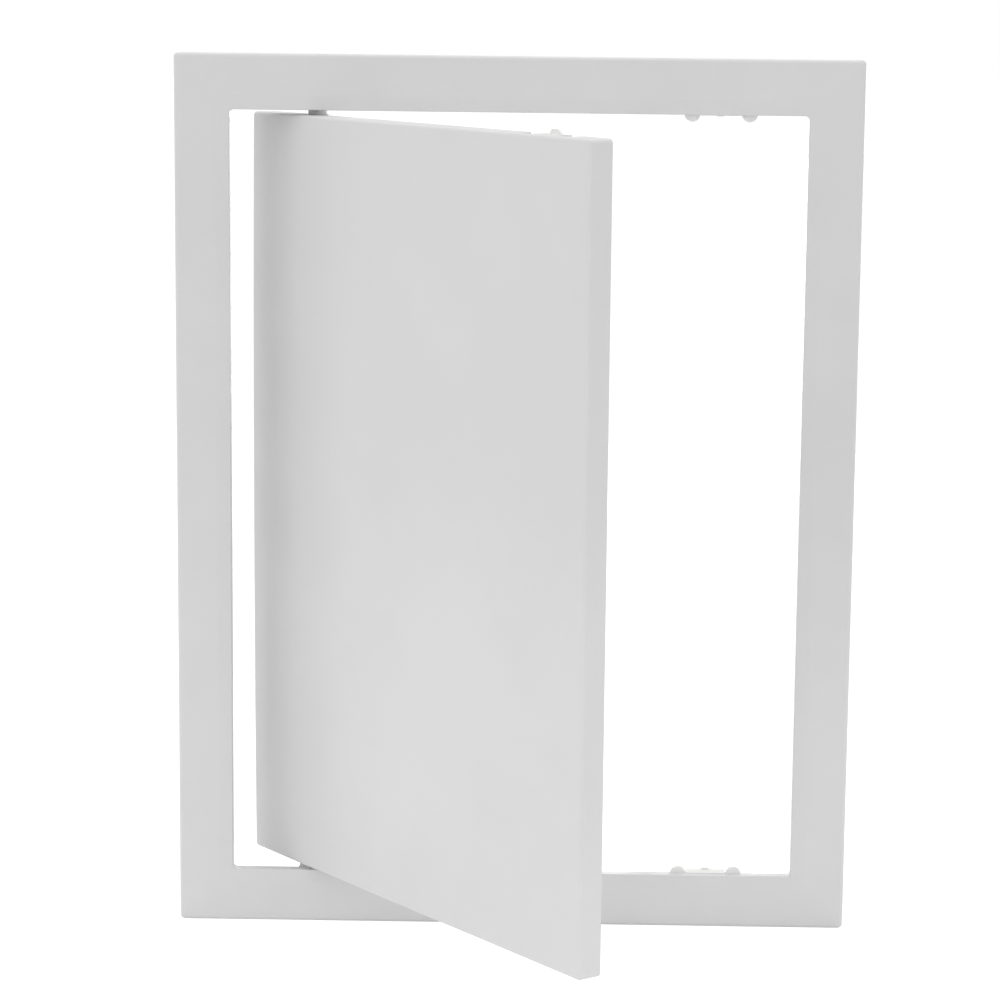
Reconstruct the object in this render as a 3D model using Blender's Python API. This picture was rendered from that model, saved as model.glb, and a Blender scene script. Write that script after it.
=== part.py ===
"""A hinged plastic access panel for a ceiling or a wall.

The panel stands upright with its visible face toward -Y. X runs across it, Z runs up it,
and the origin is in the middle of the panel on the plane of the wall. The door turns on
two pins that are set in from its left edge, and is modelled about their axis.
"""

import math

import bmesh
import bpy

# Frame, in metres
FRAME_WIDTH = 0.337
FRAME_HEIGHT = 0.437
FLANGE_WIDTH = 0.02725
FLANGE_CREST = 0.0040
FLANGE_EDGE = 0.0026
CROWN_POWER = 1.1
EDGE_RADIUS = 0.0020
OUTER_CORNER = 0.0023
SKIN = 0.0020
LAND_WIDTH = 0.0030

# Lip and the band beside it, which falls back toward the lip
BAND_WIDTH = 0.0062
BAND_FALL = 0.0003
LIP_DEPTH = 0.0061
LIP_WALL = 0.0018
LIP_RADIUS = 0.0006
LIP_CORNER = 0.0020

# Collar that goes into the hole in the wall
COLLAR_SETBACK = 0.0056
COLLAR_WALL = 0.0020
COLLAR_DEPTH = 0.0190

# Door
DOOR_GAP = 0.0024
DOOR_DEPTH = 0.0120
DOOR_SKIN = 0.0022
DOOR_WALL = 0.0018
DOOR_EDGE_RADIUS = 0.0015
DOOR_CORNER = 0.0022
DOOR_INNER_CORNER = 0.0006
OPEN_ANGLE = 52.7
RIB_THICKNESS = 0.0014
RIB_SETBACK = 0.0048
RIBS_ACROSS = 3
RIBS_UP = 3

# Hinge
PIVOT_FROM_EDGE = 0.04225
PIVOT_BEHIND_FACE = 0.0130
PIN_RADIUS = 0.0025
PIN_GAP = 0.0003
PIN_CHAMFER = 0.0005
PIN_END_GAP = 0.0005
PIN_HEAD_OVERLAP = 0.0008
PIN_HEAD_THICKNESS = 0.0016
KNUCKLE_WALL = 0.00195
EAR_MARGIN = 0.0008
EAR_THICKNESS = 0.0030
PAD_WALL = 0.0067
PAD_REACH = 0.0065
PAD_RECESS = 0.0005

# Catch
CATCH_FROM_EDGE = 0.04275
HUMP_SPACING = 0.0280
HUMP_RADIUS = 0.0040
HUMP_DROP = 0.0035
HUMP_THICKNESS = 0.0020
SLOT_CLEARANCE = 0.0015
HUMP_STOP_GAP = 0.0005
SHELF_REACH = 0.0070
SHELF_THICKNESS = 0.0012
SHELF_RECESS = 0.0003
NIB_WIDTH = 0.0032
NIB_THICKNESS = 0.0008
NIB_RISE = 0.0003
TAB_REACH = 0.0018
LATCH_CLEARANCE = 0.0005
NUB_BASE_WIDTH = 0.0112
NUB_TOP_WIDTH = 0.0040
NUB_TOP_SHIFT = 0.0011
NUB_OFFSET = 0.0015
NUB_THICKNESS = 0.0018
NUB_TOP_THICKNESS = 0.0010
NUB_SEAT_GAP = 0.0003

# Smoothness of the curves
CORNER_STEPS = 6
EDGE_STEPS = 5
CROWN_STEPS = 5
ROUND_STEPS = 24
SHARP_ANGLE = math.radians(32)

# Depth to which joined solids run into each other, and by which cutters stand out
OVERLAP = 0.0006

# Places that follow from the sizes
OPENING_HALF_WIDTH = FRAME_WIDTH / 2 - FLANGE_WIDTH
OPENING_HALF_HEIGHT = FRAME_HEIGHT / 2 - FLANGE_WIDTH
FACE_Y = -FLANGE_CREST
LIP_REAR_Y = FACE_Y + LIP_DEPTH
PIVOT_X = PIVOT_FROM_EDGE - OPENING_HALF_WIDTH
PIVOT_Y = FACE_Y + PIVOT_BEHIND_FACE
CATCH_X = OPENING_HALF_WIDTH - CATCH_FROM_EDGE
DOOR_TOP = OPENING_HALF_HEIGHT - DOOR_GAP
HOLE_RADIUS = PIN_RADIUS + PIN_GAP
KNUCKLE_RADIUS = HOLE_RADIUS + KNUCKLE_WALL
EAR_RADIUS = KNUCKLE_RADIUS + EAR_MARGIN
PAD_FACE = OPENING_HALF_HEIGHT + PAD_RECESS
COLLAR_OUTER_OFFSET = COLLAR_SETBACK + COLLAR_WALL


def clear_scene():
    """Remove every object that the scene starts with."""
    for obj in list(bpy.data.objects):
        bpy.data.objects.remove(obj, do_unlink=True)


def plastic(name, color, roughness):
    """Return a moulded plastic material.

    Args:
        name: name of the material.
        color: red, green and blue of the plastic, from 0 to 1.
        roughness: how dull the surface is.

    Returns:
        The new material.
    """
    material = bpy.data.materials.new(name)
    material.use_nodes = True
    shader = material.node_tree.nodes["Principled BSDF"]
    shader.inputs["Base Color"].default_value = (*color, 1.0)
    shader.inputs["Roughness"].default_value = roughness
    shader.inputs["Metallic"].default_value = 0.0
    return material


def arc(center, radius, start, end, steps):
    """Return the points of an arc, both ends included.

    Args:
        center: the two coordinates of the middle of the arc.
        radius: radius of the arc.
        start: first angle in degrees.
        end: last angle in degrees.
        steps: number of straight pieces.

    Returns:
        A list of coordinate pairs.
    """
    points = []
    for index in range(steps + 1):
        angle = math.radians(start + (end - start) * index / steps)
        points.append((center[0] + radius * math.cos(angle), center[1] + radius * math.sin(angle)))
    return points


def rounded_rectangle(half_width, half_height, radius):
    """Return the outline of a rectangle with round corners around the origin."""
    outline = []
    for sign_x, sign_z, start in ((1, 1, 0), (-1, 1, 90), (-1, -1, 180), (1, -1, 270)):
        center = (sign_x * (half_width - radius), sign_z * (half_height - radius))
        outline.extend(arc(center, radius, start, start + 90, CORNER_STEPS))
    return outline


def finish_mesh(name, mesh_builder):
    """Turn a bmesh into a mesh with outward faces and smooth round stretches."""
    bmesh.ops.recalc_face_normals(mesh_builder, faces=mesh_builder.faces)
    mesh = bpy.data.meshes.new(name)
    mesh_builder.to_mesh(mesh)
    mesh_builder.free()
    mesh.shade_smooth()
    mesh.set_sharp_from_angle(angle=SHARP_ANGLE)
    return mesh


def loft(name, rings, closed):
    """Join rings of points, each to the next, into a solid.

    Args:
        name: name of the mesh.
        rings: lists of points with as many points each.
        closed: True joins the last ring to the first, False caps both ends.

    Returns:
        The new mesh.
    """
    builder = bmesh.new()
    loops = [[builder.verts.new(point) for point in ring] for ring in rings]
    pairs = list(zip(loops, loops[1:]))
    if closed:
        pairs.append((loops[-1], loops[0]))
    for first, second in pairs:
        count = len(first)
        for index in range(count):
            following = (index + 1) % count
            builder.faces.new((first[index], first[following], second[following], second[index]))
    if not closed:
        builder.faces.new(loops[0])
        builder.faces.new(loops[-1])
    return finish_mesh(name, builder)


def prisms(name, solids):
    """Return one mesh of straight solids that stand apart from each other.

    Args:
        name: name of the mesh.
        solids: pairs of outlines, the two ends of each solid, with as many points each.

    Returns:
        The new mesh.
    """
    builder = bmesh.new()
    for low, high in solids:
        bottom = [builder.verts.new(point) for point in low]
        top = [builder.verts.new(point) for point in high]
        count = len(bottom)
        for index in range(count):
            following = (index + 1) % count
            builder.faces.new((bottom[index], bottom[following], top[following], top[index]))
        builder.faces.new(bottom)
        builder.faces.new(top)
    return finish_mesh(name, builder)


def block(x_range, y_range, z_range):
    """Return the two end outlines of a rectangular block."""
    def outline(z):
        return [(x, y, z) for x, y in (
            (x_range[0], y_range[0]),
            (x_range[1], y_range[0]),
            (x_range[1], y_range[1]),
            (x_range[0], y_range[1]),
        )]
    return outline(z_range[0]), outline(z_range[1])


def upright(outline, z_range):
    """Return the two end outlines of a solid drawn in the XY plane."""
    return tuple([(x, y, z) for x, y in outline] for z in z_range)


def cylinder(center, radius, z_range):
    """Return the two end outlines of an upright round bar."""
    return upright(arc(center, radius, 0, 360, ROUND_STEPS)[:-1], z_range)


def new_object(name, mesh, parent=None, material=None):
    """Put a mesh in the scene."""
    obj = bpy.data.objects.new(name, mesh)
    bpy.context.scene.collection.objects.link(obj)
    obj.parent = parent
    if material is not None:
        mesh.materials.append(material)
    return obj


def combine(target, mesh, operation):
    """Join a mesh to an object, or cut it out, with a hidden tool and a Boolean."""
    tool = new_object(mesh.name, mesh, target.parent)
    tool.hide_render = True
    tool.display_type = "WIRE"
    boolean = target.modifiers.new(mesh.name, "BOOLEAN")
    boolean.operation = operation
    boolean.solver = "EXACT"
    boolean.object = tool


def crown_height(share):
    """Return the flange's height above the wall, from its crest (0) to its rolled edge (1)."""
    return FLANGE_CREST - (FLANGE_CREST - FLANGE_EDGE) * share ** CROWN_POWER


def frame_section():
    """Return the moulding's section as distances out from the lip and places along Y."""
    crown_end = FLANGE_WIDTH - EDGE_RADIUS
    land_inner = FLANGE_WIDTH - LAND_WIDTH
    band_y = FACE_Y + BAND_FALL
    shares = [index / CROWN_STEPS for index in range(CROWN_STEPS + 1)]
    front = [(BAND_WIDTH + (crown_end - BAND_WIDTH) * share, -crown_height(share)) for share in shares]
    roll = arc((crown_end, -FLANGE_EDGE + EDGE_RADIUS), EDGE_RADIUS, -90, 0, EDGE_STEPS)
    lip = arc((LIP_RADIUS, band_y + LIP_RADIUS), LIP_RADIUS, 180, 270, EDGE_STEPS)
    hollow = []
    for share in reversed(shares):
        out = COLLAR_OUTER_OFFSET + (land_inner - COLLAR_OUTER_OFFSET) * share
        crown_share = (out - BAND_WIDTH) / (crown_end - BAND_WIDTH)
        hollow.append((out, -crown_height(max(crown_share, 0.0)) + SKIN))
    section = lip
    section += front
    section += roll[1:]
    section += [(FLANGE_WIDTH, 0.0), (land_inner, 0.0)]
    section += hollow
    section += [(COLLAR_OUTER_OFFSET, COLLAR_DEPTH), (COLLAR_SETBACK, COLLAR_DEPTH)]
    section += [(COLLAR_SETBACK, FACE_Y + SKIN), (LIP_WALL, FACE_Y + SKIN)]
    section += [(LIP_WALL, LIP_REAR_Y), (0.0, LIP_REAR_Y)]
    return section


def frame_moulding():
    """Return the frame's ring, its section carried round the opening."""
    rings = []
    for out, y in frame_section():
        radius = LIP_CORNER + (OUTER_CORNER - LIP_CORNER) * out / FLANGE_WIDTH
        outline = rounded_rectangle(OPENING_HALF_WIDTH + out, OPENING_HALF_HEIGHT + out, radius)
        rings.append([(x, y, z) for x, z in outline])
    return loft("Frame", rings, closed=True)


def both_ends(make):
    """Return what a function makes at the top (+1) and at the bottom (-1) of the panel."""
    return [make(end) for end in (1, -1)]


def span(end, inner, outer):
    """Return a Z range at one end of the panel, from its inner to its outer distance."""
    return sorted((end * inner, end * outer))


def bearing_pad(end):
    """Return the pad on the collar that carries a pin."""
    half = HOLE_RADIUS + PAD_WALL
    outer = OPENING_HALF_HEIGHT + COLLAR_SETBACK + OVERLAP
    y_range = (FACE_Y + SKIN - OVERLAP, PIVOT_Y + PAD_REACH)
    return block((PIVOT_X - half, PIVOT_X + half), y_range, span(end, PAD_FACE, outer))


def bearing_hole(end):
    """Return the pin's hole through the pad and the collar."""
    outer = OPENING_HALF_HEIGHT + COLLAR_OUTER_OFFSET + OVERLAP
    return cylinder((PIVOT_X, PIVOT_Y), HOLE_RADIUS, span(end, PAD_FACE - OVERLAP, outer))


def humps():
    """Return the half-round stops behind the lip, two at the top and two at the bottom."""
    solids = []
    for end in (1, -1):
        middle = end * (OPENING_HALF_HEIGHT + HUMP_RADIUS - HUMP_DROP)
        root = end * (OPENING_HALF_HEIGHT + LIP_WALL - OVERLAP)
        for side in (-1, 1):
            x = CATCH_X + side * HUMP_SPACING / 2
            curve = arc((x, middle), HUMP_RADIUS, 0, -180 * end, ROUND_STEPS // 2)
            outline = [(x + HUMP_RADIUS, root)] + curve + [(x - HUMP_RADIUS, root)]
            y_range = (LIP_REAR_Y - HUMP_THICKNESS, LIP_REAR_Y)
            solids.append(tuple([(a, y, b) for a, b in outline] for y in y_range))
    return solids


def catch_shelf(end):
    """Return the shelf behind the lip between two humps."""
    half = HUMP_SPACING / 2 - HUMP_RADIUS
    inner = OPENING_HALF_HEIGHT + SHELF_RECESS
    y_range = (LIP_REAR_Y - OVERLAP, LIP_REAR_Y + SHELF_REACH)
    x_range = (CATCH_X - half, CATCH_X + half)
    return block(x_range, y_range, span(end, inner, inner + SHELF_THICKNESS))


def catch_nib(end):
    """Return the small nib on the shelf that the door's nub snaps behind."""
    rear = FACE_Y + DOOR_DEPTH + TAB_REACH - NUB_THICKNESS - NUB_SEAT_GAP
    x_range = (CATCH_X - NIB_WIDTH / 2, CATCH_X + NIB_WIDTH / 2)
    inner = OPENING_HALF_HEIGHT - NIB_RISE
    outer = OPENING_HALF_HEIGHT + SHELF_RECESS + OVERLAP
    return block(x_range, (rear - NIB_THICKNESS, rear), span(end, inner, outer))


def make_frame(material):
    """Build the frame: flange, lip, collar, bearing pads and catches in one moulding."""
    frame = new_object("Frame", frame_moulding(), None, material)
    combine(frame, prisms("Bearing_Pads", both_ends(bearing_pad)), "UNION")
    combine(frame, prisms("Catch_Shelves", both_ends(catch_shelf)), "UNION")
    combine(frame, prisms("Catch_Humps", humps()), "UNION")
    combine(frame, prisms("Catch_Nibs", both_ends(catch_nib)), "UNION")
    combine(frame, prisms("Bearing_Holes", both_ends(bearing_hole)), "DIFFERENCE")
    return frame


def across(x):
    """Return a distance from the pivot axis for a place across the shut panel."""
    return x - PIVOT_X


def behind(depth):
    """Return a distance from the pivot axis for a depth behind the door's face."""
    return depth - PIVOT_BEHIND_FACE


def door_tray():
    """Return the door's tray, with a rounded front edge and an open rear."""
    half_width = OPENING_HALF_WIDTH - DOOR_GAP
    rounding = arc((DOOR_EDGE_RADIUS, DOOR_EDGE_RADIUS), DOOR_EDGE_RADIUS, 270, 180, EDGE_STEPS)
    wall = rounding + [(0.0, DOOR_DEPTH), (DOOR_WALL, DOOR_DEPTH), (DOOR_WALL, DOOR_SKIN)]
    rings = []
    for inset, depth in wall:
        radius = max(DOOR_CORNER - inset, DOOR_INNER_CORNER)
        outline = rounded_rectangle(half_width - inset, DOOR_TOP - inset, radius)
        rings.append([(across(x), behind(depth), z) for x, z in outline])
    return loft("Door", rings, closed=False)


def rib_places(count, half_length):
    """Return the middles of ribs that divide a length into equal bays."""
    return [half_length * (2 * (index + 1) / (count + 1) - 1) for index in range(count)]


def rib_depths():
    """Return where the ribs start in the door's skin and where they end."""
    return behind(DOOR_SKIN / 2), behind(DOOR_DEPTH - RIB_SETBACK)


def upright_ribs():
    """Return the ribs that run up the rear of the door."""
    half = DOOR_TOP - DOOR_WALL / 2
    middles = [across(x) for x in rib_places(RIBS_ACROSS, OPENING_HALF_WIDTH - DOOR_GAP)]
    thick = RIB_THICKNESS / 2
    return [block((x - thick, x + thick), rib_depths(), (-half, half)) for x in middles]


def level_ribs():
    """Return the ribs that run across the rear of the door."""
    half = OPENING_HALF_WIDTH - DOOR_GAP - DOOR_WALL / 2
    thick = RIB_THICKNESS / 2
    x_range = (across(-half), across(half))
    return [block(x_range, rib_depths(), (z - thick, z + thick)) for z in rib_places(RIBS_UP, DOOR_TOP)]


def pivot_ear(end):
    """Return the ear that reaches back from the rim to the pivot axis."""
    root = min(behind(DOOR_DEPTH), 0.0) - EAR_RADIUS
    tip = arc((0.0, 0.0), EAR_RADIUS, 0, 180, ROUND_STEPS // 2)
    outline = [(EAR_RADIUS, root)] + tip + [(-EAR_RADIUS, root)]
    return upright(outline, span(end, DOOR_TOP - EAR_THICKNESS, DOOR_TOP))


def knuckle(end):
    """Return the round knuckle between the ear and the bearing pad."""
    return cylinder((0.0, 0.0), KNUCKLE_RADIUS, span(end, DOOR_TOP - OVERLAP, PAD_FACE - PIN_GAP))


def knuckle_hole(end):
    """Return the pin's hole through the ear and the knuckle."""
    inner = DOOR_TOP - EAR_THICKNESS - OVERLAP
    return cylinder((0.0, 0.0), HOLE_RADIUS, span(end, inner, PAD_FACE + OVERLAP))


def catch_tab(end):
    """Return the part of the rim that reaches back to carry the nub."""
    half = HUMP_SPACING / 2
    x_range = (across(CATCH_X - half), across(CATCH_X + half))
    y_range = (behind(DOOR_DEPTH - OVERLAP), behind(DOOR_DEPTH + TAB_REACH))
    return block(x_range, y_range, span(end, DOOR_TOP - DOOR_WALL, DOOR_TOP))


def hump_slots():
    """Return the slots that let the rim past the humps and leave the nub's wall springy."""
    solids = []
    half = HUMP_RADIUS + SLOT_CLEARANCE
    front = behind(LIP_DEPTH - HUMP_THICKNESS - HUMP_STOP_GAP)
    rear = behind(DOOR_DEPTH + TAB_REACH + OVERLAP)
    for end in (1, -1):
        for side in (-1, 1):
            x = across(CATCH_X + side * HUMP_SPACING / 2)
            z_range = span(end, DOOR_TOP - DOOR_WALL - OVERLAP, DOOR_TOP + OVERLAP)
            solids.append(block((x - half, x + half), (front, rear), z_range))
    return solids


def snap_nub(end):
    """Return the tapered nub that snaps behind the catch shelf's nib."""
    middle = across(CATCH_X) - NUB_OFFSET
    rear = behind(DOOR_DEPTH + TAB_REACH)
    rise = DOOR_GAP - LATCH_CLEARANCE
    trim = (NUB_THICKNESS - NUB_TOP_THICKNESS) / 2

    def outline(center, width, front, back, z):
        corners = ((-1, front), (1, front), (1, back), (-1, back))
        return [(center + side * width / 2, y, z) for side, y in corners]

    base = outline(middle, NUB_BASE_WIDTH, rear - NUB_THICKNESS, rear, end * (DOOR_TOP - DOOR_WALL / 2))
    top = outline(
        middle - NUB_TOP_SHIFT,
        NUB_TOP_WIDTH,
        rear - NUB_THICKNESS + trim,
        rear - trim,
        end * (DOOR_TOP + rise),
    )
    return base, top


def make_door(axis, material):
    """Build the door: tray, ribs, ears, knuckles, slots and nubs in one moulding."""
    door = new_object("Door", door_tray(), axis, material)
    combine(door, prisms("Upright_Ribs", upright_ribs()), "UNION")
    combine(door, prisms("Level_Ribs", level_ribs()), "UNION")
    combine(door, prisms("Pivot_Ears", both_ends(pivot_ear)), "UNION")
    combine(door, prisms("Catch_Tabs", both_ends(catch_tab)), "UNION")
    combine(door, prisms("Hump_Slots", hump_slots()), "DIFFERENCE")
    combine(door, prisms("Knuckles", both_ends(knuckle)), "UNION")
    combine(door, prisms("Snap_Nubs", both_ends(snap_nub)), "UNION")
    combine(door, prisms("Knuckle_Holes", both_ends(knuckle_hole)), "DIFFERENCE")
    return door


def make_pin(name, end, axis, material):
    """Build a headed pin that is pushed out from inside the door into the frame."""
    head_radius = HOLE_RADIUS + PIN_HEAD_OVERLAP
    seat = DOOR_TOP - EAR_THICKNESS - PIN_GAP
    tip = OPENING_HALF_HEIGHT + COLLAR_OUTER_OFFSET - PIN_END_GAP
    profile = (
        (head_radius - PIN_CHAMFER, seat - PIN_HEAD_THICKNESS),
        (head_radius, seat - PIN_HEAD_THICKNESS + PIN_CHAMFER),
        (head_radius, seat),
        (PIN_RADIUS, seat),
        (PIN_RADIUS, tip - PIN_CHAMFER),
        (PIN_RADIUS - PIN_CHAMFER, tip),
    )
    rings = []
    for radius, height in profile:
        circle = arc((0.0, 0.0), radius, 0, 360, ROUND_STEPS)[:-1]
        rings.append([(x, y, end * height) for x, y in circle])
    return new_object(name, loft(name, rings, closed=False), axis, material)


def main():
    """Build the panel with its door open."""
    clear_scene()
    frame_plastic = plastic("Frame_White_Plastic", (0.80, 0.80, 0.80), 0.34)
    door_plastic = plastic("Door_White_Plastic", (0.81, 0.81, 0.81), 0.30)
    pin_plastic = plastic("Pin_Grey_Plastic", (0.42, 0.42, 0.43), 0.45)
    axis = new_object("Door_Axis", None)
    axis.location = (PIVOT_X, PIVOT_Y, 0.0)
    axis.rotation_euler = (0.0, 0.0, -math.radians(OPEN_ANGLE))
    make_frame(frame_plastic)
    make_door(axis, door_plastic)
    make_pin("Pin_Top", 1, axis, pin_plastic)
    make_pin("Pin_Bottom", -1, axis, pin_plastic)


if __name__ == "__main__":
    main()
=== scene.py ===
"""A white plastic access panel, its door standing open on two pins.

The panel stands upright with its visible face toward -Y, X runs across it and Z up it, and the
origin is in the middle of the panel on the plane of the wall. Every length is in metres.
"""

import logging
import math
from dataclasses import dataclass
from enum import Enum
from typing import Callable

import bmesh
import bpy
from mathutils import Matrix, Vector


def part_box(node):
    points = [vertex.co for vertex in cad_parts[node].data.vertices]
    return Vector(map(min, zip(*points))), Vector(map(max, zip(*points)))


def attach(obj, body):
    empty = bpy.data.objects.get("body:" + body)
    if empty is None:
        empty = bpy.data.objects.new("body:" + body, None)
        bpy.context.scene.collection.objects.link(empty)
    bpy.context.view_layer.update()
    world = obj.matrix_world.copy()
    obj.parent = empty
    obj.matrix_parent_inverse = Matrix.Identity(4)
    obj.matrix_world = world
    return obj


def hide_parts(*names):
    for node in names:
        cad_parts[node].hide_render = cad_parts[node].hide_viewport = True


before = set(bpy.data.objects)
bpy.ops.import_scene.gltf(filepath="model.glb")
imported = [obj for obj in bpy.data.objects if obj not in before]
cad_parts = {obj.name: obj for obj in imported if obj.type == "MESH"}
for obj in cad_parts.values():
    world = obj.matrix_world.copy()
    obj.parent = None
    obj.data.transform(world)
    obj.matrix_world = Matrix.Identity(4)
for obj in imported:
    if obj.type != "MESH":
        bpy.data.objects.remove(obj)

LOG = logging.getLogger("access_panel")

Point = tuple[float, float, float]
Stop = tuple[float, float]
Colour = tuple[float, float, float]

WHITE: Colour = (1.0, 1.0, 1.0)
HOUSE_DUST: Colour = (0.60, 0.59, 0.57)
CUT_MARGIN = 0.001
SAME_PLACE = 1e-5
SQUARE_ON = 0.9
CORNER_STEPS = 10


class End(Enum):
    """The two ends of the panel, as the sign of Z."""

    TOP = 1
    BOTTOM = -1


class Body(Enum):
    """The bodies that the pieces ride on."""

    FRAME = "frame"
    DOOR = "door"


class Part(Enum):
    """What an edit-mode selection picks."""

    VERTICES = "VERT"
    EDGES = "EDGE"
    FACES = "FACE"


class Rounding(Enum):
    """Widths of the rounding along a piece's edges, in metres."""

    BROAD = 0.0003
    FLANGE = 0.00025
    THIN = 0.0002
    SMALL = 0.00015
    NUB = 0.00012


@dataclass(frozen=True)
class PanelSizes:
    """The sizes and places that more than one piece is drawn from.

    Args:
        width: width over the flange.
        height: height over the flange.
    """

    width: float
    height: float
    flange: float = 0.02725
    crest: float = 0.0040
    lip_depth: float = 0.0061
    lip_wall: float = 0.0018
    skin: float = 0.0020
    collar_setback: float = 0.0056
    collar_wall: float = 0.0020
    collar_depth: float = 0.0190
    door_gap: float = 0.0024
    door_depth: float = 0.0120
    pivot_from_centre: float = 0.0990
    pivot_behind_face: float = 0.0130
    open_angle: float = 52.7
    pin_radius: float = 0.0025
    pin_gap: float = 0.0003
    pad_recess: float = 0.0005
    ear_thickness: float = 0.0030
    catch_from_centre: float = 0.0985
    hump_spacing: float = 0.0280
    overlap: float = 0.0004

    @property
    def half_opening_width(self) -> float:
        """Half the width between the lips."""
        return self.width / 2 - self.flange

    @property
    def half_opening_height(self) -> float:
        """Half the height between the lips."""
        return self.height / 2 - self.flange

    @property
    def face(self) -> float:
        """Place along Y of the flange's crest and of the shut door's face."""
        return -self.crest

    @property
    def lip_rear(self) -> float:
        """Place along Y of the lip's rear edge."""
        return self.face + self.lip_depth

    @property
    def door_top(self) -> float:
        """Height of the door's top edge."""
        return self.half_opening_height - self.door_gap

    @property
    def pivot(self) -> Vector:
        """A point on the axis that the door turns about."""
        return Vector((-self.pivot_from_centre, self.face + self.pivot_behind_face, 0.0))

    @property
    def hole_radius(self) -> float:
        """Radius of the holes that the pins turn in."""
        return self.pin_radius + self.pin_gap

    @property
    def pad_face(self) -> float:
        """Distance up from the middle to a bearing pad's inner face."""
        return self.half_opening_height + self.pad_recess


@dataclass(frozen=True)
class Ring:
    """A rounded rectangle that stands across the Y axis, round the panel's middle.

    Args:
        half_width: half its width.
        half_height: half its height.
        corner: radius of its corners.
        y: its place along Y.
    """

    half_width: float
    half_height: float
    corner: float
    y: float


def arc_stops(centre: Stop, radius: float, start: float, end: float, steps: int) -> list[Stop]:
    """Return the points of an arc in a section.

    Args:
        centre: middle of the arc.
        radius: radius of the arc.
        start: first angle in degrees.
        end: last angle in degrees.
        steps: number of straight pieces.

    Returns:
        The points, both ends included.
    """
    angles = [math.radians(start + (end - start) * index / steps) for index in range(steps + 1)]
    return [(centre[0] + radius * math.cos(a), centre[1] + radius * math.sin(a)) for a in angles]


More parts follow.
